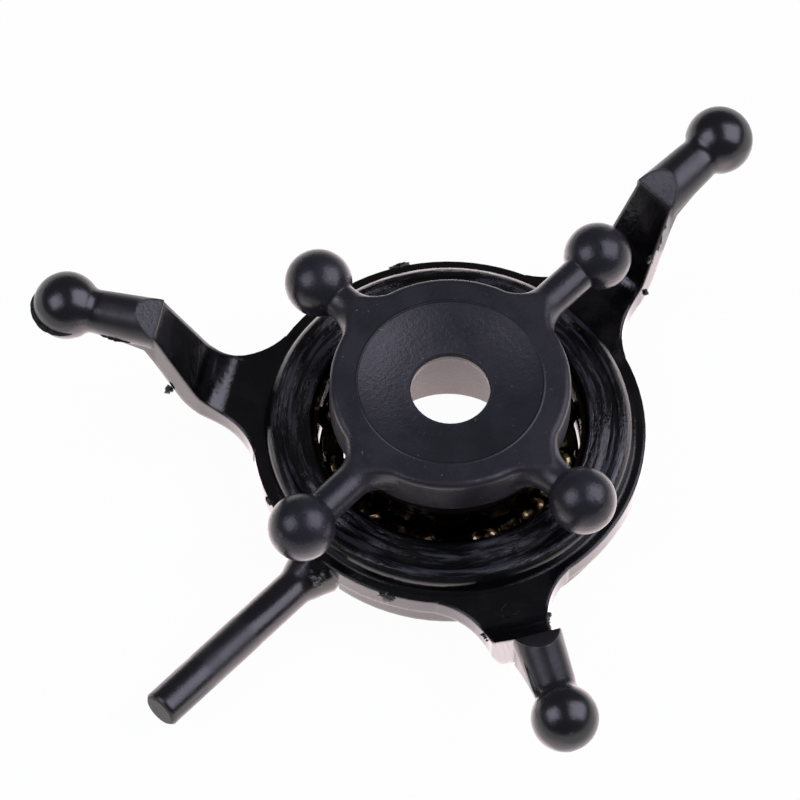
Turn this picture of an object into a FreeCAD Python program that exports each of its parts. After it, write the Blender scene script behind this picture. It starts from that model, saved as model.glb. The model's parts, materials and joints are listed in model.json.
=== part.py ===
"""Swashplate of a micro helicopter, in millimetres.

A rotor plate with four link balls turns with the mast inside a ball bearing. The bearing sits in
a star that doesn't turn: three cranked arms carry the servo link balls, and a pin keeps the star
from turning. Origin: mast axis, at the height of the rotor plate's link balls. +Z is up the mast,
+X runs along the front arm, and the pin points along -X.
"""
import FreeCAD, Part
import math
import os

V = FreeCAD.Vector
ORIGIN = V(0, 0, 0)
AXIS_X = V(1, 0, 0)
AXIS_Y = V(0, 1, 0)
AXIS_Z = V(0, 0, 1)
FULL_TURN = 360.0
SAME_PLACE = 0.001

# Mast and links
MAST_DIAMETER = 3.0
MAST_CLEARANCE = 0.025
LINK_BALL_DIAMETER = 2.6

# Fits
PRESS_SEAT_CLEARANCE = 0.01
BALL_RACE_CLEARANCE = 0.04
BALL_POCKET_CLEARANCE = 0.06
TAB_CLEARANCE = 0.01

# Ball bearing
BEARING_BORE = 7.0
BEARING_OUTER = 11.0
BEARING_WIDTH = 2.5
BEARING_BALL_DIAMETER = 1.2
BEARING_BALL_COUNT = 12
RACE_SHOULDER = 0.47
RACE_CHAMFER = 0.1

# Pressed cage
CAGE_SHEET = 0.12
CAGE_BAND = 0.66
TAB_LENGTH = 0.34
TAB_SHEET = 0.09
TAB_HOOK = 0.2

# Rotor plate
PLATE_TOP = 0.73
PLATE_THICKNESS = 1.75
PLATE_WAIST_DIAMETER = 9.2
PLATE_EDGE_ROUND = 0.25
PLATE_UNDER_ROUND = 0.12
DISH_DIAMETER = 7.14
DISH_DEPTH = 0.53
DISH_HOLLOW = 0.08
DISH_CURVE_RADIUS = 6.0
THROAT_LENGTH = 0.45
LONG_PAIR_RADIUS = 8.2
SHORT_PAIR_RADIUS = 6.9
NECK_DIAMETER = 1.38
LOBE_FILLET = 1.3
HUB_WALL = 0.49
HUB_DOME_ROUND = 0.5
HUB_SHOULDER_LENGTH = 1.68
HUB_SHOULDER_LAND = 0.35
HUB_RIM_FLARE = 0.26
HUB_RIM_LENGTH = 0.24

# Star housing
LIP_THICKNESS = 0.3
LIP_OVERHANG = 0.3
LIP_ROUND = 0.12
RING_HEIGHT = 0.7
RING_BASE_DIAMETER = 14.1
RING_DRAFT = 0.13
RING_SHOULDER_ROUND = 0.4
RING_GROOVE_WIDTH = 0.55
RING_GROOVE_DEPTH = 0.09
RING_GROOVE_DIAMETER = 12.4
STAR_PLATE_MARGIN = 0.45
STAR_PLATE_THICKNESS = 0.85
HOUSING_DIAMETER = 13.8
HOUSING_FLOOR = 0.6
HOUSING_CHAMFER = 0.2

# Star arms
ARM_ANGLES = (0.0, 120.0, -120.0)
ARM_BALL_RADIUS = 15.0
ARM_BALL_HEIGHT = 0.4
ARM_ROOT_WIDTH = 2.35
ARM_TIP_WIDTH = 1.68
ARM_ROOT_FILLET = 2.8
RAMP_FOOT_RADIUS = 9.3
RAMP_HEAD_RADIUS = 11.42
RAMP_HEAD_RISE = 0.35
RAMP_FOOT_ROUND = 1.7
RAMP_HEEL_ROUND = 2.0
FACET_SLOPE = 34.0
BAR_ROOT_DIAMETER = 1.94
BAR_TIP_DIAMETER = 1.64
BALL_NECK_ROUND = 0.3
TONGUE_REACH = 13.9
TONGUE_ROOT_DEPTH = 0.75
TONGUE_TIP_DEPTH = 0.3
TONGUE_TIP_WIDTH = 1.4

# Anti-rotation pin
PIN_DIAMETER = 1.5
PIN_TIP_RADIUS = 16.0
PIN_DROP = 1.1
PIN_TIP_CHAMFER = 0.12
PIN_ROOT_DIAMETER = 2.3
PIN_ROOT_LENGTH = 1.05
PIN_ROOT_ROUND = 0.8

# Heights and radii that follow from the sizes above
LINK_BALL_R = LINK_BALL_DIAMETER / 2
THROAT_R = MAST_DIAMETER / 2 + MAST_CLEARANCE
PLATE_BOTTOM = PLATE_TOP - PLATE_THICKNESS
PLATE_WAIST_R = PLATE_WAIST_DIAMETER / 2
DISH_R = DISH_DIAMETER / 2
DISH_FLOOR = PLATE_TOP - DISH_DEPTH
THROAT_BOTTOM = DISH_FLOOR - THROAT_LENGTH
NECK_R = NECK_DIAMETER / 2

BEARING_TOP = PLATE_BOTTOM - HUB_SHOULDER_LENGTH
BEARING_BOTTOM = BEARING_TOP - BEARING_WIDTH
BEARING_MIDDLE = (BEARING_TOP + BEARING_BOTTOM) / 2
BEARING_BORE_R = BEARING_BORE / 2
BEARING_OUTER_R = BEARING_OUTER / 2
BALL_R = BEARING_BALL_DIAMETER / 2
BALL_PITCH_R = (BEARING_BORE_R + BEARING_OUTER_R) / 2
GROOVE_R = BALL_R + BALL_RACE_CLEARANCE
BALL_STEP = FULL_TURN / BEARING_BALL_COUNT

HUB_R = BEARING_BORE_R - PRESS_SEAT_CLEARANCE
HUB_BORE_R = HUB_R - HUB_WALL
HUB_SHOULDER_R = BEARING_BORE_R + HUB_SHOULDER_LAND
HUB_RIM_R = HUB_R + HUB_RIM_FLARE
HUB_RIM_TOP = BEARING_BOTTOM - PRESS_SEAT_CLEARANCE
HUB_BOTTOM = HUB_RIM_TOP - HUB_RIM_LENGTH

SEAT_R = BEARING_OUTER_R + PRESS_SEAT_CLEARANCE
SEAT_TOP = BEARING_TOP + PRESS_SEAT_CLEARANCE
SEAT_BOTTOM = BEARING_BOTTOM - PRESS_SEAT_CLEARANCE
LIP_R = BEARING_OUTER_R - LIP_OVERHANG
RING_TOP = SEAT_TOP + LIP_THICKNESS
RING_BASE_R = RING_BASE_DIAMETER / 2
STAR_PLATE_R = RING_BASE_R + STAR_PLATE_MARGIN
STAR_PLATE_TOP = RING_TOP - RING_HEIGHT
STAR_PLATE_BOTTOM = STAR_PLATE_TOP - STAR_PLATE_THICKNESS
HOUSING_R = HOUSING_DIAMETER / 2
HOUSING_BOTTOM = SEAT_BOTTOM - HOUSING_FLOOR
PIN_R = PIN_DIAMETER / 2
PIN_HEIGHT = STAR_PLATE_TOP - PIN_DROP


# Drawing helpers

def corner_arc(before, corner, after, radius):
    """Tangent points and middle point of the arc that rounds a corner."""
    back = (before - corner).normalize()
    ahead = (after - corner).normalize()
    half_angle = back.getAngle(ahead) / 2
    setback = radius / math.tan(half_angle)
    centre = corner + (back + ahead).normalize() * (radius / math.sin(half_angle))
    middle = centre + (corner - centre).normalize() * radius
    return corner + back * setback, middle, corner + ahead * setback


def outline(points, place):
    """Closed wire through (a, b) or (a, b, corner radius) points, set in space by place."""
    corners = [place(point[0], point[1]) for point in points]
    radii = [point[2] if len(point) > 2 else 0 for point in points]
    edges = []
    pen = None
    starts = []
    for index, corner in enumerate(corners):
        following = corners[(index + 1) % len(corners)]
        if radii[index]:
            start, middle, end = corner_arc(corners[index - 1], corner, following, radii[index])
        else:
            start, middle, end = corner, None, corner
        starts.append(start)
        if pen is not None:
            edges.append(Part.LineSegment(pen, start).toShape())
        if middle is not None:
            edges.append(Part.Arc(start, middle, end).toShape())
        pen = end
    edges.append(Part.LineSegment(pen, starts[0]).toShape())
    return Part.Wire(edges)


def upright(across, height):
    """A point of the XZ plane."""
    return V(across, 0, height)


def turned_about_z(points):
    """Solid of revolution about the mast axis from a (radius, height) profile."""
    return Part.Face(outline(points, upright)).revolve(ORIGIN, AXIS_Z, FULL_TURN)


def turned_about_x(points, height=0.0):
    """Solid of revolution about a line along X from an (x, radius) profile."""
    face = Part.Face(outline(points, lambda along, radius: V(along, 0, height + radius)))
    return face.revolve(V(0, 0, height), AXIS_X, FULL_TURN)


def cut_from_side(points, width):
    """Side profile in the XZ plane, given a width centred on that plane."""
    face = Part.Face(outline(points, upright))
    face.translate(AXIS_Y * (-width / 2))
    return face.extrude(AXIS_Y * width)


def disc(radius, bottom, top):
    """Plain cylinder on the mast axis."""
    return Part.makeCylinder(radius, top - bottom, V(0, 0, bottom))


def ring(inner, outer, bottom, top):
    """Plain ring on the mast axis."""
    return disc(outer, bottom, top).cut(disc(inner, bottom, top))


def rotated(shape, angle):
    """Copy of a shape turned about the mast axis."""
    copy = shape.copy()
    copy.rotate(ORIGIN, AXIS_Z, angle)
    return copy


def around(shape, count):
    """Evenly spaced copies of a shape about the mast axis."""
    return [rotated(shape, index * FULL_TURN / count) for index in range(count)]


def joined(first, others):
    """One solid from shapes that overlap or touch."""
    return first.fuse(others).removeSplitter()


# Rotor plate

def flare(axis_x, radius, fillet, wall_r):
    """(x, radius) profile of a round bar along X that flares into a round wall of radius wall_r.

    The flare is a fillet tangent to the bar and to the wall at the level of the bar's axis.
    """
    centre_y = radius + fillet
    centre_x = math.sqrt((wall_r + fillet) ** 2 - centre_y ** 2)
    share = wall_r / (wall_r + fillet)
    wall_point = V(centre_x * share, 0, centre_y * share)
    bar_point = V(centre_x, 0, radius)
    centre = V(centre_x, 0, centre_y)
    inward = (wall_point + bar_point) * 0.5 - centre
    middle = centre + inward.normalize() * fillet
    inner = V(wall_point.x, 0, 0)
    outer_end = V(axis_x, 0, radius)
    edges = [
        Part.LineSegment(inner, wall_point).toShape(),
        Part.Arc(wall_point, middle, bar_point).toShape(),
        Part.LineSegment(bar_point, outer_end).toShape(),
        Part.LineSegment(outer_end, V(axis_x, 0, 0)).toShape(),
        Part.LineSegment(V(axis_x, 0, 0), inner).toShape(),
    ]
    return Part.Face(Part.Wire(edges)).revolve(ORIGIN, AXIS_X, FULL_TURN)


def link_post(ball_radius):
    """Lobe, neck and link ball of the rotor plate, along +X."""
    flared_neck = flare(ball_radius, NECK_R, LOBE_FILLET, PLATE_WAIST_R)
    slab = disc(ball_radius + LINK_BALL_R, PLATE_BOTTOM, PLATE_TOP)
    ball = Part.makeSphere(LINK_BALL_R, V(ball_radius, 0, 0))
    return flared_neck.common(slab).fuse(ball)


def outer_rim(plate):
    """Edges round the outside of the plate's top face."""
    level = [edge for edge in plate.Edges if edge.BoundBox.ZMin > PLATE_TOP - SAME_PLACE]
    return [edge for edge in level if edge.Vertexes[0].Point.Length > PLATE_WAIST_R]


def rotor_plate():
    """Dished plate with a thin throat for the mast, a hollow hub and four link balls."""
    dish_middle_r = (THROAT_R + DISH_R) / 2
    dish_middle_z = (DISH_FLOOR + PLATE_TOP) / 2 - DISH_HOLLOW
    body = turned_about_z([
        (THROAT_R, DISH_FLOOR),
        (dish_middle_r, dish_middle_z, DISH_CURVE_RADIUS),
        (DISH_R, PLATE_TOP),
        (PLATE_WAIST_R, PLATE_TOP),
        (PLATE_WAIST_R, PLATE_BOTTOM, PLATE_UNDER_ROUND),
        (HUB_SHOULDER_R, PLATE_BOTTOM, PLATE_UNDER_ROUND),
        (HUB_SHOULDER_R, BEARING_TOP),
        (HUB_R, BEARING_TOP),
        (HUB_R, HUB_RIM_TOP),
        (HUB_RIM_R, HUB_RIM_TOP),
        (HUB_RIM_R, HUB_BOTTOM, HUB_RIM_LENGTH / 2),
        (HUB_BORE_R, HUB_BOTTOM),
        (HUB_BORE_R, THROAT_BOTTOM, HUB_DOME_ROUND),
        (THROAT_R, THROAT_BOTTOM),
    ])
    long_post = link_post(LONG_PAIR_RADIUS)
    short_post = rotated(link_post(SHORT_PAIR_RADIUS), FULL_TURN / 4)
    keep_open = disc(HUB_BORE_R, HUB_BOTTOM, PLATE_TOP)
    posts = [post.cut(keep_open) for post in around(long_post, 2) + around(short_post, 2)]
    plate = joined(body, posts)
    return plate.makeFillet(PLATE_EDGE_ROUND, outer_rim(plate))


# Ball bearing

def raceway():
    """Ring groove that the bearing balls run in."""
    return Part.makeTorus(BALL_PITCH_R, GROOVE_R, V(0, 0, BEARING_MIDDLE))


def race(inner, outer, chamfered):
    """Bearing ring with chamfers on its seated side; the raceway isn't cut yet."""
    blank = ring(inner, outer, BEARING_BOTTOM, BEARING_TOP)
    edges = [edge for edge in blank.Edges if abs(edge.BoundBox.XMax - chamfered) < RACE_CHAMFER]
    rims = [edge for edge in edges if edge.BoundBox.ZLength < RACE_CHAMFER]
    return blank.makeChamfer(RACE_CHAMFER, rims)


def inner_race():
    """Inner ring, pressed on the hub."""
    shoulder_r = BEARING_BORE_R + RACE_SHOULDER
    return race(BEARING_BORE_R, shoulder_r, BEARING_BORE_R).cut(raceway())


def outer_race():
    """Outer ring, held in the star by the rolled lip."""
    shoulder_r = BEARING_OUTER_R - RACE_SHOULDER
    return race(shoulder_r, BEARING_OUTER_R, BEARING_OUTER_R).cut(raceway())


def bearing_ball(index):
    """One bearing ball, touching neither race nor cage."""
    ball = Part.makeSphere(BALL_R, V(BALL_PITCH_R, 0, BEARING_MIDDLE))
    return rotated(ball, index * BALL_STEP)


def cage_half():
    """Upper half of the pressed ribbon cage, before its tabs: flat webs between dome pockets."""
    inner_r = BALL_PITCH_R - CAGE_BAND / 2
    outer_r = BALL_PITCH_R + CAGE_BAND / 2
    pocket_r = BALL_R + BALL_POCKET_CLEARANCE
    crown = BEARING_MIDDLE + pocket_r + CAGE_SHEET
    centre = V(BALL_PITCH_R, 0, BEARING_MIDDLE)
    web = ring(inner_r, outer_r, BEARING_MIDDLE, BEARING_MIDDLE + CAGE_SHEET)
    band = ring(inner_r, outer_r, BEARING_MIDDLE, crown)
    dome = Part.makeSphere(pocket_r + CAGE_SHEET, centre).common(band)
    hollow = Part.makeSphere(pocket_r, centre)
    ribbon = joined(web, around(dome, BEARING_BALL_COUNT))
    return ribbon.cut(around(hollow, BEARING_BALL_COUNT))


def mid_web_box(inner, outer, length, bottom, top):
    """Box across the middle of one web, halfway between two balls."""
    box = Part.makeBox(outer - inner, length, top - bottom, V(inner, -length / 2, bottom))
    return rotated(box, BALL_STEP / 2)


def clinch_tab():
    """Tab that hangs from the upper half's rim and folds under the lower half's web."""
    outer_r = BALL_PITCH_R + CAGE_BAND / 2
    web_bottom = BEARING_MIDDLE - CAGE_SHEET - TAB_CLEARANCE
    tab_bottom = web_bottom - TAB_SHEET
    leg = mid_web_box(outer_r - TAB_SHEET, outer_r, TAB_LENGTH, tab_bottom,
                      BEARING_MIDDLE + CAGE_SHEET)
    hook = mid_web_box(outer_r - TAB_SHEET - TAB_HOOK, outer_r, TAB_LENGTH, tab_bottom, web_bottom)
    return leg.fuse(hook)


def cage_upper_half():
    """Upper cage half with a folded tab on every web."""
    return joined(cage_half(), around(clinch_tab(), BEARING_BALL_COUNT))


def cage_lower_half():
    """Lower cage half: the mirrored ribbon, notched where the tabs pass."""
    ribbon = cage_half().mirror(V(0, 0, BEARING_MIDDLE), AXIS_Z)
    outer_r = BALL_PITCH_R + CAGE_BAND / 2
    notch = mid_web_box(outer_r - TAB_SHEET - TAB_CLEARANCE, outer_r + TAB_SHEET,
                        TAB_LENGTH + 2 * TAB_CLEARANCE, BEARING_MIDDLE - CAGE_SHEET,
                        BEARING_MIDDLE)
    return ribbon.cut(around(notch, BEARING_BALL_COUNT))


# Star

def star_housing():
    """Bearing housing with its rolled lip, the flat plate round it and the floor lip below."""
    groove_r = RING_GROOVE_DIAMETER / 2
    groove_floor = RING_TOP - RING_GROOVE_DEPTH
    groove_half = RING_GROOVE_WIDTH / 2
    return turned_about_z([
        (LIP_R, HOUSING_BOTTOM),
        (HOUSING_R - HOUSING_CHAMFER, HOUSING_BOTTOM),
        (HOUSING_R, HOUSING_BOTTOM + HOUSING_CHAMFER),
        (HOUSING_R, STAR_PLATE_BOTTOM),
        (STAR_PLATE_R, STAR_PLATE_BOTTOM),
        (STAR_PLATE_R, STAR_PLATE_TOP),
        (RING_BASE_R, STAR_PLATE_TOP),
        (RING_BASE_R - RING_DRAFT, RING_TOP, RING_SHOULDER_ROUND),
        (groove_r + groove_half, RING_TOP),
        (groove_r + groove_half - RING_GROOVE_DEPTH, groove_floor),
        (groove_r - groove_half + RING_GROOVE_DEPTH, groove_floor),
        (groove_r - groove_half, RING_TOP),
        (LIP_R, RING_TOP, LIP_ROUND),
        (LIP_R, SEAT_TOP),
        (SEAT_R, SEAT_TOP),
        (SEAT_R, SEAT_BOTTOM),
        (LIP_R, SEAT_BOTTOM),
    ])


def arm_plan():
    """Plan outline of an arm: concave fillets off the plate, then a taper to the tip."""
    half_root = ARM_ROOT_WIDTH / 2
    half_tip = ARM_TIP_WIDTH / 2
    centre_y = half_root + ARM_ROOT_FILLET
    centre_x = math.sqrt((STAR_PLATE_R + ARM_ROOT_FILLET) ** 2 - centre_y ** 2)
    share = STAR_PLATE_R / (STAR_PLATE_R + ARM_ROOT_FILLET)
    plate_x = centre_x * share
    plate_y = centre_y * share
    swing = (V(plate_x, plate_y, 0) + V(centre_x, half_root, 0)) * 0.5 - V(centre_x, centre_y, 0)
    middle = V(centre_x, centre_y, 0) + swing.normalize() * ARM_ROOT_FILLET
    half_end = TONGUE_TIP_WIDTH / 2
    below = STAR_PLATE_BOTTOM

    def at(x, y):
        return V(x, y, below)

    edges = [
        Part.Arc(at(plate_x, plate_y), at(middle.x, middle.y), at(centre_x, half_root)).toShape(),
        Part.LineSegment(at(centre_x, half_root), at(RAMP_HEAD_RADIUS, half_tip)).toShape(),
        Part.LineSegment(at(RAMP_HEAD_RADIUS, half_tip), at(TONGUE_REACH, half_end)).toShape(),
        Part.LineSegment(at(TONGUE_REACH, half_end), at(TONGUE_REACH, -half_end)).toShape(),
        Part.LineSegment(at(TONGUE_REACH, -half_end), at(RAMP_HEAD_RADIUS, -half_tip)).toShape(),
        Part.LineSegment(at(RAMP_HEAD_RADIUS, -half_tip), at(centre_x, -half_root)).toShape(),
        Part.Arc(at(centre_x, -half_root), at(middle.x, -middle.y),
                 at(plate_x, -plate_y)).toShape(),
        Part.LineSegment(at(plate_x, -plate_y), at(plate_x, plate_y)).toShape(),
    ]
    face = Part.Face(Part.Wire(edges))
    return face.extrude(AXIS_Z * (ARM_BALL_HEIGHT + LINK_BALL_R - below))


def ramp_slope():
    """Angle of the ramp from level, in radians."""
    rise = ARM_BALL_HEIGHT + RAMP_HEAD_RISE - STAR_PLATE_TOP
    return math.atan2(rise, RAMP_HEAD_RADIUS - RAMP_FOOT_RADIUS)


def arm_strap():
    """Cranked strap: flat root, steep ramp, and a tongue that tapers off under the round bar."""
    slope = ramp_slope()
    head_z = ARM_BALL_HEIGHT + RAMP_HEAD_RISE
    under_x = RAMP_HEAD_RADIUS + STAR_PLATE_THICKNESS * math.sin(slope)
    under_z = head_z - STAR_PLATE_THICKNESS * math.cos(slope)
    elbow_z = ARM_BALL_HEIGHT - TONGUE_ROOT_DEPTH
    elbow_x = under_x - (under_z - elbow_z) / math.tan(slope)
    heel_x = under_x - (under_z - STAR_PLATE_BOTTOM) / math.tan(slope)
    side = cut_from_side([
        (RING_BASE_R, STAR_PLATE_BOTTOM),
        (heel_x, STAR_PLATE_BOTTOM, RAMP_HEEL_ROUND),
        (elbow_x, elbow_z),
        (TONGUE_REACH, ARM_BALL_HEIGHT - TONGUE_TIP_DEPTH),
        (TONGUE_REACH, ARM_BALL_HEIGHT),
        (RAMP_HEAD_RADIUS + RAMP_HEAD_RISE, ARM_BALL_HEIGHT),
        (RAMP_HEAD_RADIUS, head_z),
        (RAMP_FOOT_RADIUS, STAR_PLATE_TOP, RAMP_FOOT_ROUND),
        (RING_BASE_R, STAR_PLATE_TOP),
    ], 2 * STAR_PLATE_R)
    return side.common(arm_plan())


def upright_edges(shape):
    """Edges that lie in a plane square to X."""
    return [edge for edge in shape.Edges if edge.BoundBox.XLength < SAME_PLACE]


def arm_bar():
    """Round tapered bar under the link ball, with its top cut to a slanting facet."""
    head_z = ARM_BALL_HEIGHT + RAMP_HEAD_RISE
    bar_end = ARM_BALL_RADIUS - LINK_BALL_R / 2
    bar = turned_about_x([
        (RAMP_HEAD_RADIUS, 0),
        (RAMP_HEAD_RADIUS, BAR_ROOT_DIAMETER / 2),
        (bar_end, BAR_TIP_DIAMETER / 2),
        (bar_end, 0),
    ], ARM_BALL_HEIGHT)
    facet_run = LINK_BALL_R / math.tan(math.radians(FACET_SLOPE))
    above = cut_from_side([
        (RAMP_HEAD_RADIUS, head_z),
        (RAMP_HEAD_RADIUS + facet_run, head_z + LINK_BALL_R),
        (RAMP_HEAD_RADIUS, head_z + LINK_BALL_R),
    ], 2 * LINK_BALL_R)
    return bar.cut(above)


def star_arm():
    """One arm along +X, with its link ball on a rounded neck."""
    ball = Part.makeSphere(LINK_BALL_R, V(ARM_BALL_RADIUS, 0, ARM_BALL_HEIGHT))
    tip = arm_bar().fuse(ball)
    inner_side = ARM_BALL_RADIUS - LINK_BALL_R
    neck = [edge for edge in upright_edges(tip) if edge.BoundBox.XMin > inner_side]
    return arm_strap().fuse(tip.makeFillet(BALL_NECK_ROUND, neck))


def anti_rotation_pin():
    """Round pin along -X, on a conical root that runs into the edge of the plate."""
    pin = turned_about_x([
        (SEAT_R + PIN_R, 0),
        (SEAT_R + PIN_R, PIN_ROOT_DIAMETER / 2),
        (STAR_PLATE_R, PIN_ROOT_DIAMETER / 2),
        (STAR_PLATE_R + PIN_ROOT_LENGTH, PIN_R, PIN_ROOT_ROUND),
        (PIN_TIP_RADIUS - PIN_TIP_CHAMFER, PIN_R),
        (PIN_TIP_RADIUS, PIN_R - PIN_TIP_CHAMFER),
        (PIN_TIP_RADIUS, 0),
    ], PIN_HEIGHT)
    slab = disc(2 * PIN_TIP_RADIUS, HOUSING_BOTTOM + HOUSING_CHAMFER, STAR_PLATE_TOP)
    return rotated(pin.common(slab), FULL_TURN / 2)


def lower_star():
    """The star in one moulding: housing, plate, three arms with link balls, and the pin."""
    arms = [rotated(star_arm(), angle) for angle in ARM_ANGLES]
    return joined(star_housing(), arms + [anti_rotation_pin()])


def export(name, shape):
    """Write one piece to its own STEP file."""
    shape.exportStep("parts/" + name + ".step")


def main():
    os.makedirs("parts", exist_ok=True)
    export("rotor_plate", rotor_plate())
    export("lower_star", lower_star())
    export("bearing_outer_race", outer_race())
    export("bearing_inner_race", inner_race())
    export("cage_upper_half", cage_upper_half())
    export("cage_lower_half", cage_lower_half())
    for index in range(BEARING_BALL_COUNT):
        export("bearing_ball_%02d" % (index + 1), bearing_ball(index))


main()
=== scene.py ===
"""Looks of a micro helicopter's swashplate: materials, moulding marks, grease, light and camera."""

import json
import math

import bmesh
import bpy
from mathutils import Matrix, Quaternion, Vector
from mathutils import noise as lumps


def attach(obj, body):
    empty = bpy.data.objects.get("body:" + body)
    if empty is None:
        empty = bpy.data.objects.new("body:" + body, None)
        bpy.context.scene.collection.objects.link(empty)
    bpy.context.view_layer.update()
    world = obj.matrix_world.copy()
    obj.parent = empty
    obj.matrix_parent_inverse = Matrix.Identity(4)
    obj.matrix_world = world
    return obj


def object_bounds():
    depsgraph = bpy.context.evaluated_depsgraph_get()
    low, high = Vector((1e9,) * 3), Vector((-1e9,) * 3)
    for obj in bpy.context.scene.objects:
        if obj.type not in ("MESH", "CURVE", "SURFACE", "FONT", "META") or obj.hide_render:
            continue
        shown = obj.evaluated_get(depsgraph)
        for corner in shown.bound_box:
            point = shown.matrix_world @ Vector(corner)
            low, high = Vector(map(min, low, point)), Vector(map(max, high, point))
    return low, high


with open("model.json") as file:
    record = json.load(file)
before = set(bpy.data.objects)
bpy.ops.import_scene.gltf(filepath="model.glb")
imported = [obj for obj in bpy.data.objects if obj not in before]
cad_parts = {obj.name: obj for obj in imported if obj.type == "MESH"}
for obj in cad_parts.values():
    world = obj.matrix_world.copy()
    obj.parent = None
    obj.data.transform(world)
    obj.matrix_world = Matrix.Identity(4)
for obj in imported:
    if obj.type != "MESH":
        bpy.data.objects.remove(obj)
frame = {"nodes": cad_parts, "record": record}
CAD_BOX = [list(corner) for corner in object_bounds()]

MM = 0.001
AXIS_Z = Vector((0, 0, 1))

# Rotor plate: radii and heights that pick out its surfaces
THROAT = 1.54 * MM
HUB_BORE = 3.05 * MM
HUB_DOME = -0.2 * MM
DISH_RIM = 3.57 * MM
DISH_FLOOR = 0.2 * MM
LEATHER_FADES = 3.0 * MM
SMOOTHER_FROM = 5.0 * MM
SMOOTHEST_FROM = 6.0 * MM

# Star: radii and heights
RING_TOP = -2.39 * MM
RING_INNER = 5.4 * MM
RING_OUTER = 6.7 * MM
PLATE_RIM = 7.5 * MM
PLATE_TOP = -3.09 * MM

# Star's arms and pin: distances out from the mast axis; the facet's base is a height
ARM_ANGLES = {"right": 0.0, "left": 120.0, "near": -120.0}
BAR_START = 11.42 * MM
BAR_END = 13.5 * MM
FACET_BASE = 0.75 * MM
FACET_END = 12.4 * MM
FACET_SLOPE = math.tan(math.radians(34.0))
PIN_START = 8.2 * MM
PIN_END = 15.96 * MM

# Star's link balls, in mm: radius, and how far out and up their middles are
LINK_BALL = 1.3
LINK_BALL_REACH = 15.0
LINK_BALL_HEIGHT = 0.4

# Grease between the races: radii, heights, and how much its top swells
GREASE_INNER = 4.02 * MM
GREASE_OUTER = 4.98 * MM
GREASE_CROWN = (4.3 * MM, 4.7 * MM)
GREASE_TOP = -4.86 * MM
GREASE_EDGE = -4.90 * MM
GREASE_BOTTOM = -5.12 * MM
GREASE_SWELL = 0.06 * MM

# Flash: thickness at its root, share of it left at the torn edge, depth sunk into the part
FLASH_THICKNESS = 0.06 * MM
FLASH_TIP_SHARE = 0.4
FLASH_ROOT = 0.12 * MM

# Web of flash in the near arm's crook, in mm: its (along, height) outline, and its two sides across
CROOK_WEB = ((11.3, -1.5), (11.7, -1.1), (12.4, -0.5), (13.0, 0.0), (13.6, 0.32), (14.0, 0.6),
             (13.9, 0.9), (12.0, 0.75), (11.5, 0.3))
CROOK_WEB_SIDES = (-0.85, -0.6)

# Colours, as linear light
NYLON_DARK = (0.0165, 0.0163, 0.0205, 1)
NYLON_LIGHT = (0.0215, 0.0212, 0.0265, 1)
NYLON_SPECK = (0.09, 0.09, 0.1, 1)
# Painted light: pinkish grey of the hub bore, as if lit by the glowing table below
HUB_PAINTED_GLOW = (0.085, 0.070, 0.066, 1)
GLOSS_DARK = (0.0022, 0.0022, 0.0028, 1)
GLOSS_LIGHT = (0.0050, 0.0048, 0.0058, 1)
SATIN_BLACK = (0.0095, 0.0092, 0.0115, 1)
SCUFFED = (0.030, 0.030, 0.038, 1)
GREASE_DARK = (0.008, 0.005, 0.003, 1)
GREASE_LIGHT = (0.028, 0.017, 0.008, 1)
FLOOR_GREY = (0.9, 0.9, 0.9, 1)
WHITE = (1, 1, 1, 1)

# Steels: bare colour, colour under grease (darkened partly as painted shade of the recess), film
# value where bare steel starts, least roughness
STEELS = {
    "bearing_steel": ((0.26, 0.205, 0.135, 1), (0.032, 0.023, 0.014, 1), 0.57, 0.14),
    "ball_steel": ((0.75, 0.75, 0.76, 1), (0.10, 0.068, 0.032, 1), 0.52, 0.06),
    "cage_steel": ((0.34, 0.25, 0.14, 1), (0.030, 0.019, 0.009, 1), 0.54, 0.12),
}

# Camera: angles in degrees, lens and sensor in mm
AIM = Vector((-1.52, 1.19, -0.18)) * MM
CAMERA_AZIMUTH = 312.4
CAMERA_ELEVATION = 60.3
CAMERA_ROLL = 1.12
CAMERA_DISTANCE = 762.5 * MM
LENS = 902.4
SENSOR = 36.0

# Studio, in metres; radiances are in watts per square metre and steradian
FLOOR_HEIGHT = CAD_BOX[0][2] - 0.05 * MM
FLOOR_HALF = 1.5
FLOOR_WHITENESS = 0.97
SOFTBOX_DISTANCE = 0.5
SOFTBOX_COLOUR = (0.83, 0.81, 1.0)
SOFTBOX_RADIANCE = 3.3
GLOW_HEIGHT = CAD_BOX[0][2] - 0.02 * MM
GLOW_COLOUR = (1.0, 0.80, 0.83)
GLOW_SIZE = 26.0 * MM
GLOW_RADIANCE = 1.5
HALO_SIZE = 42.0 * MM
HALO_RADIANCE = 0.6
ROOM_LIGHT = 0.08


# Nodes

def material_of(name):
    """New node material, its node tree and its Principled shader."""
    material = bpy.data.materials.new(name)
    material.use_nodes = True
    return material, material.node_tree, material.node_tree.nodes["Principled BSDF"]


def connect(tree, value, socket):
    """Links a socket, or sets a plain value."""
    if isinstance(value, bpy.types.NodeSocket):
        tree.links.new(value, socket)
    else:
        socket.default_value = value


def add(tree, kind, inputs=None, **settings):
    """One node, with settings and with input values or links."""
    node = tree.nodes.new(kind)
    for key, value in settings.items():
        setattr(node, key, value)
    for key, value in (inputs or {}).items():
        connect(tree, value, node.inputs[key])
    return node


def object_place(tree):
    """Position in the row frame, in metres."""
    return add(tree, "ShaderNodeTexCoord").outputs["Object"]


def noise(tree, scale, detail=3.0, roughness=0.55, place=None, distortion=0.0):
    """Noise value at that scale, in cycles per metre."""
    return add(tree, "ShaderNodeTexNoise", {
        "Vector": place or object_place(tree), "Scale": scale, "Detail": detail,
        "Roughness": roughness, "Distortion": distortion}).outputs["Fac"]


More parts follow.
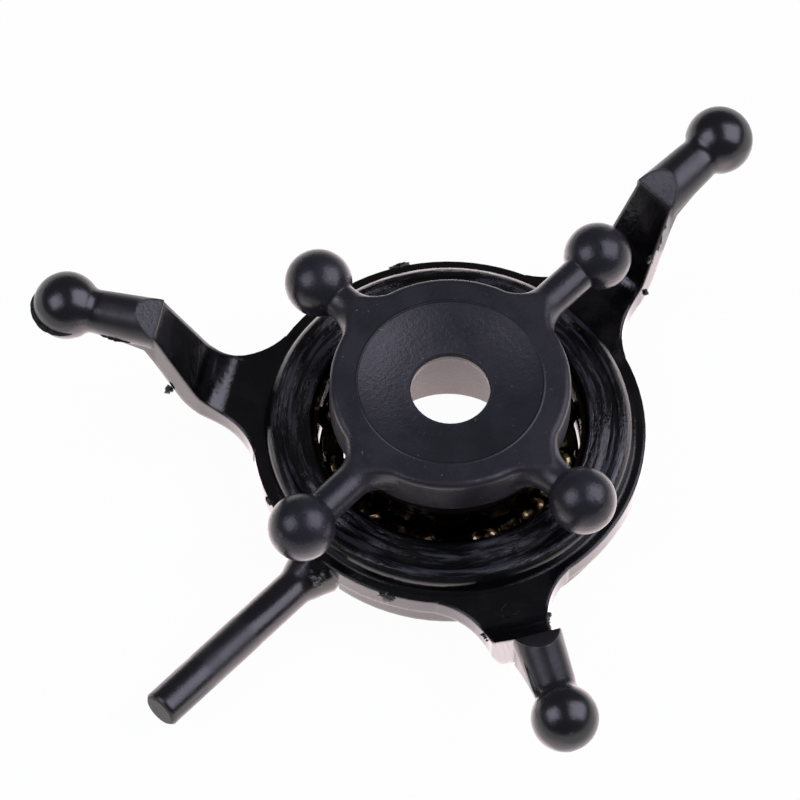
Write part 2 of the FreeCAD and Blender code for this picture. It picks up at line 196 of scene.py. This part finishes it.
def ramp(tree, value, low, high, out_low=0.0, out_high=1.0):
    """Value mapped smoothly from low..high to out_low..out_high, and held past the ends."""
    return add(tree, "ShaderNodeMapRange", {
        "Value": value, "From Min": low, "From Max": high,
        "To Min": out_low, "To Max": out_high}, interpolation_type="SMOOTHSTEP").outputs["Result"]


def calc(tree, operation, first, second=0.0, third=0.0):
    """One math step."""
    inputs = {0: first, 1: second, 2: third}
    return add(tree, "ShaderNodeMath", inputs, operation=operation).outputs[0]


def times(tree, first, second):
    """Product of two values."""
    return calc(tree, "MULTIPLY", first, second)


def band(tree, value, low, high, soft):
    """1 between low and high, with soft ends."""
    return times(tree, ramp(tree, value, low - soft, low),
                 ramp(tree, value, high, high + soft, 1.0, 0.0))


def mix_colour(tree, factor, first, second):
    """Blend of two colours."""
    node = add(tree, "ShaderNodeMix", data_type="RGBA")
    connect(tree, factor, node.inputs[0])
    connect(tree, first, node.inputs[6])
    connect(tree, second, node.inputs[7])
    return node.outputs[2]


def bump(tree, height, depth, normal=None):
    """Bump from a height of 0 to 1 times a depth in metres, on top of another normal."""
    inputs = {"Height": height, "Distance": depth}
    if normal:
        inputs["Normal"] = normal
    return add(tree, "ShaderNodeBump", inputs).outputs["Normal"]


def bumps(tree, normal, layers):
    """Bumps laid over each other, from (height, depth in mm) pairs."""
    for height, depth in layers:
        normal = bump(tree, height, depth * MM, normal)
    return normal


def soft_edges(tree, radius):
    """Normal that rounds the sharp edges of the solids."""
    return add(tree, "ShaderNodeBevel", {"Radius": radius}, samples=6).outputs["Normal"]


def axis_parts(tree):
    """The three parts of the place in the row frame, in metres."""
    return add(tree, "ShaderNodeSeparateXYZ", {"Vector": object_place(tree)}).outputs


def axis_radius(tree, parts):
    """Distance from the mast axis, in metres."""
    x2 = times(tree, parts["X"], parts["X"])
    y2 = times(tree, parts["Y"], parts["Y"])
    return calc(tree, "SQRT", calc(tree, "ADD", x2, y2))


def round_place(tree, parts, radius, stretch):
    """Place whose noise runs in long streaks round the axis; stretch sets their length."""
    around = [times(tree, calc(tree, "DIVIDE", parts[axis], radius), stretch)
              for axis in ("X", "Y")]
    return add(tree, "ShaderNodeCombineXYZ", {
        "X": radius, "Y": around[0], "Z": around[1]}).outputs[0]


# Materials

def rotor_nylon():
    """Satin black nylon: leathery dish with a raised rim line, matt throat, and painted pinkish
    light on the hub bore.
    """
    material, tree, shader = material_of("rotor_nylon")
    parts = axis_parts(tree)
    radius = axis_radius(tree, parts)
    blotches = noise(tree, 700.0, 4.0)
    grain = noise(tree, 9000.0, 4.0, 0.6)
    leather = noise(tree, 5600.0, 3.5, 0.6, distortion=0.4)
    specks = ramp(tree, noise(tree, 5200.0, 1.0), 0.74, 0.8)
    in_dish = times(tree, ramp(tree, radius, LEATHER_FADES, DISH_RIM, 1.0, 0.3),
                    ramp(tree, parts["Z"], DISH_FLOOR - 0.1 * MM, DISH_FLOOR))
    # Hub bore below the dome, where the painted pinkish light goes
    painted_glow_in_hub = times(tree, ramp(tree, radius, HUB_BORE, HUB_BORE + 0.1 * MM, 1.0, 0.0),
                   ramp(tree, parts["Z"], HUB_DOME - 0.1 * MM, HUB_DOME, 1.0, 0.0))
    in_throat = times(tree, ramp(tree, radius, THROAT, THROAT + 0.1 * MM, 1.0, 0.0),
                      ramp(tree, parts["Z"], -0.02 * MM, 0.04 * MM))
    rim_line = band(tree, radius, DISH_RIM, DISH_RIM, 0.07 * MM)
    smoother = ramp(tree, radius, SMOOTHER_FROM, SMOOTHEST_FROM, 0.0, 0.1)

    colour = mix_colour(tree, ramp(tree, blotches, 0.35, 0.65), NYLON_DARK, NYLON_LIGHT)
    colour = mix_colour(tree, specks, colour, NYLON_SPECK)
    # Painted light: the hub bore turned pinkish grey
    colour = mix_colour(tree, painted_glow_in_hub, colour, HUB_PAINTED_GLOW)
    connect(tree, colour, shader.inputs["Base Color"])
    matt = calc(tree, "SUBTRACT", ramp(tree, blotches, 0.3, 0.7, 0.33, 0.41), smoother)
    matt = calc(tree, "MULTIPLY_ADD", in_throat, 0.5, matt)
    connect(tree, matt, shader.inputs["Roughness"])
    shader.inputs["IOR"].default_value = 1.46
    normal = bumps(tree, soft_edges(tree, 0.12 * MM), (
        (grain, 0.010), (times(tree, leather, in_dish), 0.022), (rim_line, 0.035)))
    connect(tree, normal, shader.inputs["Normal"])
    return material


def star_nylon():
    """Black nylon: glossy plate and ramps, streaky ring top, grainy facets, satin bars and pin."""
    material, tree, shader = material_of("star_nylon")
    parts = axis_parts(tree)
    radius = axis_radius(tree, parts)
    flow = noise(tree, 350.0, 5.0, 0.6, distortion=1.5)
    swell = noise(tree, 1300.0, 2.0, 0.5)
    fine = noise(tree, 6500.0, 3.0, 0.6)
    grain = noise(tree, 7000.0, 3.0, 0.6)
    streaks = noise(tree, 4600.0, 4.0, 0.62, place=round_place(tree, parts, radius, 0.7 * MM))
    ring_top = times(tree, band(tree, radius, RING_INNER, RING_OUTER, 0.2 * MM),
                     ramp(tree, parts["Z"], RING_TOP - 0.3 * MM, RING_TOP - 0.15 * MM))
    scuffs = times(tree, ring_top, ramp(tree, streaks, 0.46, 0.66))
    bars = band(tree, radius, BAR_START, BAR_END, 0.3 * MM)
    pin = ramp(tree, parts["X"], -PIN_START, 0.4 * MM - PIN_START, 1.0, 0.0)
    satin = calc(tree, "MAXIMUM", pin, ramp(tree, radius, BAR_START - 0.2 * MM, BAR_START))
    cut_end = ramp(tree, parts["X"], -PIN_END, 0.05 * MM - PIN_END, 1.0, 0.0)
    facet_plane = calc(tree, "MULTIPLY_ADD", radius, FACET_SLOPE,
                       FACET_BASE - FACET_SLOPE * BAR_START)
    over_facet = calc(tree, "SUBTRACT", parts["Z"], facet_plane)
    facet = times(tree, band(tree, radius, BAR_START, FACET_END, 0.1 * MM),
                  ramp(tree, over_facet, -0.06 * MM, -0.02 * MM))
    torn = times(tree, grain, calc(tree, "MAXIMUM", facet, cut_end))

    colour = mix_colour(tree, ramp(tree, flow, 0.4, 0.65), GLOSS_DARK, GLOSS_LIGHT)
    colour = mix_colour(tree, satin, colour, SATIN_BLACK)
    colour = mix_colour(tree, scuffs, colour, SCUFFED)
    connect(tree, colour, shader.inputs["Base Color"])
    matt = ramp(tree, flow, 0.35, 0.7, 0.09, 0.17)
    for mask, more in ((scuffs, 0.26), (satin, 0.13), (bars, 0.12), (cut_end, 0.35)):
        matt = calc(tree, "MULTIPLY_ADD", mask, more, matt)
    connect(tree, matt, shader.inputs["Roughness"])
    shader.inputs["IOR"].default_value = 1.58
    normal = bumps(tree, soft_edges(tree, 0.2 * MM), (
        (fine, 0.006), (swell, 0.011), (times(tree, streaks, ring_top), 0.08), (torn, 0.035)))
    connect(tree, normal, shader.inputs["Normal"])
    return material


def steel_greased_and_shaded(name, steel, grease_and_shade, bare_from, smoothest):
    """Bearing steel, mostly dark under grease that also stands in as painted shade of the recess,
    with bare shining patches and turning lines.
    """
    material, tree, shader = material_of(name)
    parts = axis_parts(tree)
    radius = axis_radius(tree, parts)
    lines = noise(tree, 40000.0, 2.0, place=round_place(tree, parts, radius, 0.02 * MM))
    film = noise(tree, 1500.0, 4.0, 0.55, distortion=0.6)
    ripples = noise(tree, 4800.0, 3.0, 0.6, distortion=0.8)
    bare = ramp(tree, film, bare_from, bare_from + 0.1)
    # The dark colour under grease is partly real grease and partly painted shade of the bearing's
    # recess under the plate
    connect(tree, mix_colour(tree, bare, grease_and_shade, steel), shader.inputs["Base Color"])
    shader.inputs["Metallic"].default_value = 1.0
    matt = ramp(tree, lines, 0.3, 0.7, smoothest, smoothest + 0.12)
    connect(tree, matt, shader.inputs["Roughness"])
    normal = bump(tree, ripples, 0.012 * MM, bump(tree, film, 0.04 * MM))
    connect(tree, normal, shader.inputs["Normal"])
    return material


def dark_grease():
    """Dark brown wet grease."""
    material, tree, shader = material_of("grease")
    film = noise(tree, 1800.0, 4.0, 0.55, distortion=0.6)
    colour = mix_colour(tree, ramp(tree, film, 0.4, 0.65), GREASE_DARK, GREASE_LIGHT)
    connect(tree, colour, shader.inputs["Base Color"])
    connect(tree, ramp(tree, film, 0.3, 0.7, 0.08, 0.2), shader.inputs["Roughness"])
    connect(tree, bump(tree, film, 0.06 * MM), shader.inputs["Normal"])
    return material


def paint_nodes():
    """Gives every CAD node the material of its slot, and returns the materials by slot."""
    made = {"rotor_nylon": rotor_nylon(), "star_nylon": star_nylon()}
    for slot, finish in STEELS.items():
        made[slot] = steel_greased_and_shaded(slot, *finish)
    for part in frame["record"]["subparts"]:
        mesh = frame["nodes"][part["node"]].data
        mesh.materials.clear()
        mesh.materials.append(made[part["material_slot"]])
    return made


# Small pieces

def keep(name, mesh, material, body="star"):
    """Turns a bmesh into a piece that rides a body, by default the star in its plastic."""
    data = bpy.data.meshes.new(name)
    bmesh.ops.recalc_face_normals(mesh, faces=mesh.faces)
    mesh.to_mesh(data)
    mesh.free()
    data.shade_smooth()
    data.materials.append(material)
    piece = bpy.data.objects.new(name, data)
    bpy.context.collection.objects.link(piece)
    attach(piece, body)


def ragged(place, fade):
    """Rough value at a place; fade sets how fast its finer parts die away."""
    spread, octaves = 2.0, 4
    return lumps.fractal(place, fade, spread, octaves)


def join_rings(mesh, first, second):
    """Faces between two rings of as many corners."""
    for corner in range(len(first)):
        following = (corner + 1) % len(first)
        mesh.faces.new((first[corner], first[following], second[following], second[corner]))


def join_rows(mesh, rows):
    """Faces along a row of rings, with both ends closed."""
    for first, second in zip(rows, rows[1:]):
        join_rings(mesh, first, second)
    mesh.faces.new(rows[0])
    mesh.faces.new(reversed(rows[-1]))


def arm_turn(arm):
    """Turn from the mast's axes to an arm's own."""
    return Matrix.Rotation(math.radians(ARM_ANGLES[arm]), 3, "Z")


def on_arm(arm, along, across, height):
    """Place on an arm, given in mm along it, across it and up."""
    return arm_turn(arm) @ (Vector((along, across, 0)) * MM) + AXIS_Z * height * MM


def outward_at(azimuth):
    """Level direction at an azimuth, counted from +X."""
    a = math.radians(azimuth)
    return Vector((math.cos(a), math.sin(a), 0))


def on_rim(azimuth, radius, height):
    """Place given by its azimuth, and its radius and height in metres."""
    return outward_at(azimuth) * radius + AXIS_Z * height


def nub(name, material, place, size, seed):
    """Torn little nub: a bead pushed out of round; size gives its three half-lengths in mm."""
    mesh = bmesh.new()
    bmesh.ops.create_icosphere(mesh, subdivisions=4, radius=1.0)
    offset = Vector((seed, 2.0 * seed, -seed))
    for vertex in mesh.verts:
        vertex.co *= 1 + 0.55 * ragged(vertex.co * 1.4 + offset, 0.6)
    azimuth = math.atan2(place.y, place.x)
    shape = Matrix.Rotation(azimuth, 4, "Z") @ Matrix.Diagonal((*(Vector(size) * MM), 1.0))
    bmesh.ops.transform(mesh, matrix=Matrix.Translation(place) @ shape, verts=mesh.verts)
    keep(name, mesh, material)


def flash(name, material, path, reach, seed, torn=0.9):
    """Thin fin of flash along a path of (foot, outward) pairs, as far out as reach (mm)."""
    mesh = bmesh.new()
    half = AXIS_Z * FLASH_THICKNESS / 2
    rows = []
    for step, (foot, outward) in enumerate(path):
        share = step / (len(path) - 1)
        tear = 0.6 + torn * ragged(Vector((share * 7.0, seed, 0.0)), 0.5)
        ends = math.sin(math.pi * share) ** 0.6
        tip = foot + outward * reach * MM * max(tear, 0.05) * ends
        root = foot - outward * FLASH_ROOT
        rows.append([mesh.verts.new(corner) for corner in (
            root - half, tip - half * FLASH_TIP_SHARE, tip + half * FLASH_TIP_SHARE,
            root + half)])
    join_rows(mesh, rows)
    keep(name, mesh, material)


def beside_arm(arm, sign, start, end, steps=40):
    """Path along an arm's side, from start to end, each (along, across, height) in mm."""
    first, last = on_arm(arm, *start), on_arm(arm, *end)
    outward = arm_turn(arm) @ Vector((0, sign, 0))
    return [(first.lerp(last, step / steps), outward) for step in range(steps + 1)]


def round_ball(arm, first, last, steps=60):
    """Path round the equator of an arm's link ball, between two azimuths."""
    middle = on_arm(arm, LINK_BALL_REACH, 0.0, LINK_BALL_HEIGHT)
    outwards = [outward_at(first + (last - first) * step / steps) for step in range(steps + 1)]
    return [(middle + outward * LINK_BALL * MM, outward) for outward in outwards]


def crook_web(material):
    """Thin web of flash that fills the crook under the near arm's bar, up to its ball."""
    mesh = bmesh.new()
    faces = []
    for across in CROOK_WEB_SIDES:
        corners = []
        for along, height in CROOK_WEB:
            wave = 0.05 * lumps.noise(Vector((along * 4.0, height * 4.0, 0.0)))
            corners.append(mesh.verts.new(on_arm("near", along, across, height + wave)))
        faces.append(corners)
    mesh.faces.new(faces[0])
    mesh.faces.new(reversed(faces[1]))
    join_rings(mesh, faces[1], faces[0])
    bmesh.ops.bevel(mesh, geom=mesh.edges[:], offset=0.04 * MM, segments=2, affect="EDGES")
    keep("crook_web_near", mesh, material)


def fibre(name, material, middle, radius, start):
    """Curled hair of trimmed plastic that opens from a start angle; radius in mm."""
    steps, sides = 60, 6
    thickness = 0.018 * MM
    curl = math.radians(250)
    mesh = bmesh.new()
    rings = []
    for step in range(steps + 1):
        share = step / steps
        angle = start + share * curl
        side = Vector((math.cos(angle), math.sin(angle), 0))
        swing = radius * MM * (0.45 + 1.1 * share)
        spot = middle + Vector((side.x, side.y * 0.6, 0)) * swing
        turns = [2 * math.pi * corner / sides for corner in range(sides)]
        rings.append([mesh.verts.new(spot + (side * math.cos(c) + AXIS_Z * math.sin(c)) * thickness)
                      for c in turns])
    join_rows(mesh, rings)
    keep(name, mesh, material)


def nubs(material):
    """Gate nubs, and knots of torn plastic on the rim and the arms."""
    # Name, place, half-lengths in mm, seed
    table = (
        ("gate_nub_back", on_rim(58, PLATE_RIM + 0.05 * MM, PLATE_TOP - 0.1 * MM),
         (0.16, 0.32, 0.13), 3.1),
        ("gate_nub_near_left", on_rim(-155, PLATE_RIM, PLATE_TOP - 0.2 * MM),
         (0.17, 0.3, 0.2), 5.7),
        ("rim_nub_left", on_rim(157, PLATE_RIM, PLATE_TOP - 0.1 * MM), (0.1, 0.2, 0.12), 8.3),
        ("pin_root_lump", on_rim(-175.5, 8.0 * MM, PLATE_TOP - 0.3 * MM), (0.3, 0.34, 0.2), 1.9),
        ("ramp_bead_left", on_arm("left", 10.75, 1.0, -2.6), (0.14, 0.14, 0.16), 2.2),
        ("root_nub_left", on_arm("left", 8.55, -1.2, -3.15), (0.2, 0.14, 0.1), 4.4),
        ("flash_knot_right", on_arm("right", 10.15, -0.95, -1.5), (0.16, 0.1, 0.2), 6.1),
        ("flash_knot_right_low", on_arm("right", 9.75, -1.15, -3.3), (0.1, 0.12, 0.12), 7.4),
        ("torn_knot_near", on_arm("near", 8.75, 1.2, -3.15), (0.16, 0.2, 0.1), 9.2),
    )
    for name, place, size, seed in table:
        nub(name, material, place, size, seed)


def fins(material):
    """Fins of flash along the arms' sides and round the left ball."""
    right_ramp = beside_arm("right", -1, (9.9, -1.0, -2.3), (11.2, -0.86, 0.1))
    near_left = beside_arm("near", -1, (8.3, -1.2, -3.2), (9.3, -1.08, -3.3))
    near_right = beside_arm("near", 1, (8.5, 1.12, -3.12), (9.2, 1.1, -3.12))
    left_bar = beside_arm("left", 1, (12.3, 0.87, 0.1), (13.5, 0.82, 0.1))
    flash("flash_right_ramp", material, right_ramp, 0.16, 1.7)
    flash("flash_near_left", material, near_left, 0.24, 3.3)
    flash("flash_near_right", material, near_right, 0.22, 5.9)
    flash("flash_left_ball", material, round_ball("left", 108.0, 232.0), 0.24, 4.6, torn=0.12)
    flash("flash_left_bar", material, left_bar, 0.14, 2.9, torn=0.4)


def moulding_marks(material):
    """Nubs, torn flash and a fibre, where the moulding was trimmed by hand."""
    nubs(material)
    fins(material)
    crook_web(material)
    fibre("fibre_near_root", material, on_arm("near", 8.0, 0.0, -3.07), 0.42, 0.6)


def bearing_grease(material):
    """Uneven ring of grease between the races, under the balls; it turns with the cage."""
    steps = 180
    mesh = bmesh.new()
    rows = []
    for step in range(steps):
        outward = outward_at(360 * step / steps)
        crown = GREASE_TOP + GREASE_SWELL * ragged(outward * 4.0, 0.6)
        section = [(GREASE_INNER, GREASE_EDGE), *((radius, crown) for radius in GREASE_CROWN),
                   (GREASE_OUTER, GREASE_EDGE), (GREASE_OUTER, GREASE_BOTTOM),
                   (GREASE_INNER, GREASE_BOTTOM)]
        rows.append([mesh.verts.new(outward * radius + AXIS_Z * height)
                     for radius, height in section])
    for step, row in enumerate(rows):
        join_rings(mesh, row, rows[(step + 1) % steps])
    keep("bearing_grease", mesh, material, "cage")


# Studio

def blend_out(tree, kind, share, first, second):
    """Output node of that kind, fed with a blend: the share is how much of the second shows."""
    blend = add(tree, "ShaderNodeMixShader", {0: share, 1: first.outputs[0], 2: second.outputs[0]})
    add(tree, kind, {"Surface": blend.outputs[0]})


def floor():
    """Pale floor that the camera sees as white, with the object's faint shadow kept."""
    mesh = bpy.data.meshes.new("floor")
    half = FLOOR_HALF
    corners = [(-half, -half), (half, -half), (half, half), (-half, half)]
    mesh.from_pydata([(x, y, FLOOR_HEIGHT) for x, y in corners], [], [(0, 1, 2, 3)])
    plane = bpy.data.objects.new("floor", mesh)
    bpy.context.collection.objects.link(plane)
    material = bpy.data.materials.new("pale_floor")
    material.use_nodes = True
    tree = material.node_tree
    tree.nodes.clear()
    rays = add(tree, "ShaderNodeLightPath").outputs
    seen = calc(tree, "MAXIMUM", rays["Is Camera Ray"], rays["Is Glossy Ray"])
    seen = calc(tree, "MAXIMUM", seen, rays["Is Transmission Ray"])
    grey = add(tree, "ShaderNodeBsdfDiffuse", {"Color": FLOOR_GREY})
    white = add(tree, "ShaderNodeEmission", {"Color": WHITE, "Strength": 1.0})
    share = times(tree, seen, FLOOR_WHITENESS)
    blend_out(tree, "ShaderNodeOutputMaterial", share, grey, white)
    mesh.materials.append(material)


def room():
    """Dim white room, which the camera sees as plain white."""
    world = bpy.context.scene.world or bpy.data.worlds.new("room")
    bpy.context.scene.world = world
    world.use_nodes = True
    tree = world.node_tree
    tree.nodes.clear()
    rays = add(tree, "ShaderNodeLightPath").outputs
    dim = add(tree, "ShaderNodeBackground", {"Color": WHITE, "Strength": ROOM_LIGHT})
    white = add(tree, "ShaderNodeBackground", {"Color": WHITE, "Strength": 1.0})
    blend_out(tree, "ShaderNodeOutputWorld", rays["Is Camera Ray"], dim, white)


def lamp_at(name, place, away, size, radiance, colour):
    """Square area lamp that the camera doesn't see; away is the direction of its back."""
    lamp = bpy.data.lights.new(name, "AREA")
    lamp.shape = "SQUARE"
    lamp.size = size
    lamp.energy = radiance * math.pi * size ** 2
    lamp.color = colour
    holder = bpy.data.objects.new(name, lamp)
    holder.location = place
    holder.rotation_euler = (-away).to_track_quat("-Z", "Y").to_euler()
    holder.visible_camera = False
    bpy.context.collection.objects.link(holder)


def softbox(name, azimuth, elevation, size):
    """Soft bluish lamp that looks at the object; azimuth is counted from +X."""
    e = math.radians(elevation)
    away = outward_at(azimuth) * math.cos(e) + AXIS_Z * math.sin(e)
    lamp_at(name, away * SOFTBOX_DISTANCE, away, size, SOFTBOX_RADIANCE, SOFTBOX_COLOUR)


def table_lamp(name, size, radiance):
    """Square of light off the white table, under the part."""
    lamp_at(name, AXIS_Z * GLOW_HEIGHT, -AXIS_Z, size, radiance, GLOW_COLOUR)


def studio_light():
    """A larger box to the right, a smaller one to the left, a glow off the table, a dim room."""
    softbox("box_right", azimuth=-42.0, elevation=46.0, size=0.48)
    softbox("box_left", azimuth=151.0, elevation=47.0, size=0.34)
    table_lamp("table_glow", GLOW_SIZE, GLOW_RADIANCE)
    table_lamp("table_halo", HALO_SIZE, HALO_RADIANCE)
    room()


def camera():
    """Long lens from above; its azimuth is counted from -Y."""
    data = bpy.data.cameras.new("camera")
    data.lens = LENS
    data.sensor_width = SENSOR
    data.clip_end = 10.0
    holder = bpy.data.objects.new("camera", data)
    e = math.radians(CAMERA_ELEVATION)
    away = outward_at(CAMERA_AZIMUTH - 90) * math.cos(e) + AXIS_Z * math.sin(e)
    holder.location = AIM + away * CAMERA_DISTANCE
    turn = (-away).to_track_quat("-Z", "Y") @ Quaternion(AXIS_Z, math.radians(CAMERA_ROLL))
    holder.rotation_euler = turn.to_euler()
    bpy.context.collection.objects.link(holder)
    bpy.context.scene.camera = holder


moulding_marks(paint_nodes()["star_nylon"])
bearing_grease(dark_grease())
floor()
studio_light()
camera()
bpy.context.scene.view_settings.view_transform = "Standard"
